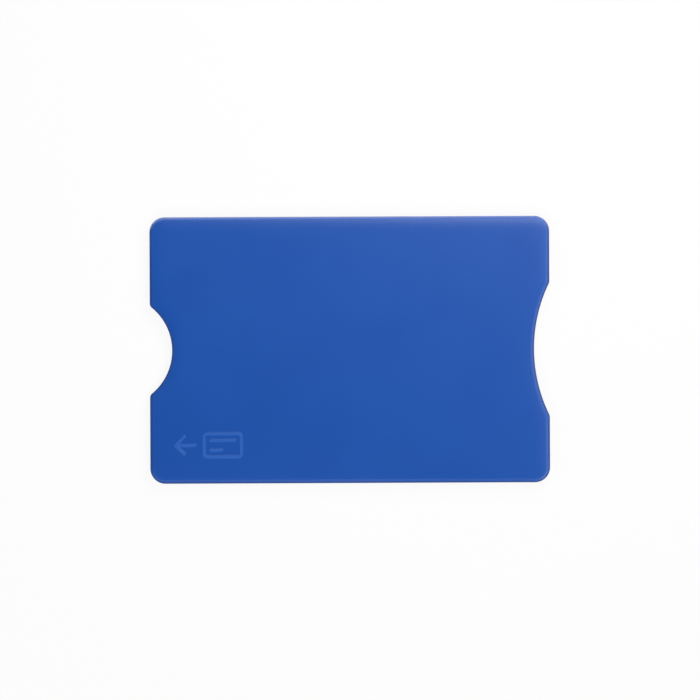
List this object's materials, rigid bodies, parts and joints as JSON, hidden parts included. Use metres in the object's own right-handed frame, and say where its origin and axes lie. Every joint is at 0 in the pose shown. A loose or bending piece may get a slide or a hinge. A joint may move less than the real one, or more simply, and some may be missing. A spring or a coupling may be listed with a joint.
{
  "type": "card sleeve",
  "caption": "Hard moulded bank-card sleeve, open at the mouth end, with rounded finger notches in both ends and aluminium shielding foil inside its walls.",
  "frame": {"origin": "middle of the back face, on the surface that the sleeve lies on", "axes": "+X along the length, out of the mouth; +Y across the width; +Z out of the front face"},
  "size_m": [0.09, 0.06, 0.0041],
  "materials": {
    "blue_plastic": "satin",
    "shield_aluminium": "satin",
    "clear_adhesive": "matte",
    "clear_film": "gloss"
  },
  "bodies": {
    "root": {"front_shell": "blue_plastic", "back_cover": "blue_plastic", "front_adhesive": "clear_adhesive", "back_adhesive": "clear_adhesive", "front_shield_foil": "shield_aluminium", "back_shield_foil": "shield_aluminium", "front_slip_film": "clear_film", "back_slip_film": "clear_film"}
  },
  "joints": []
}
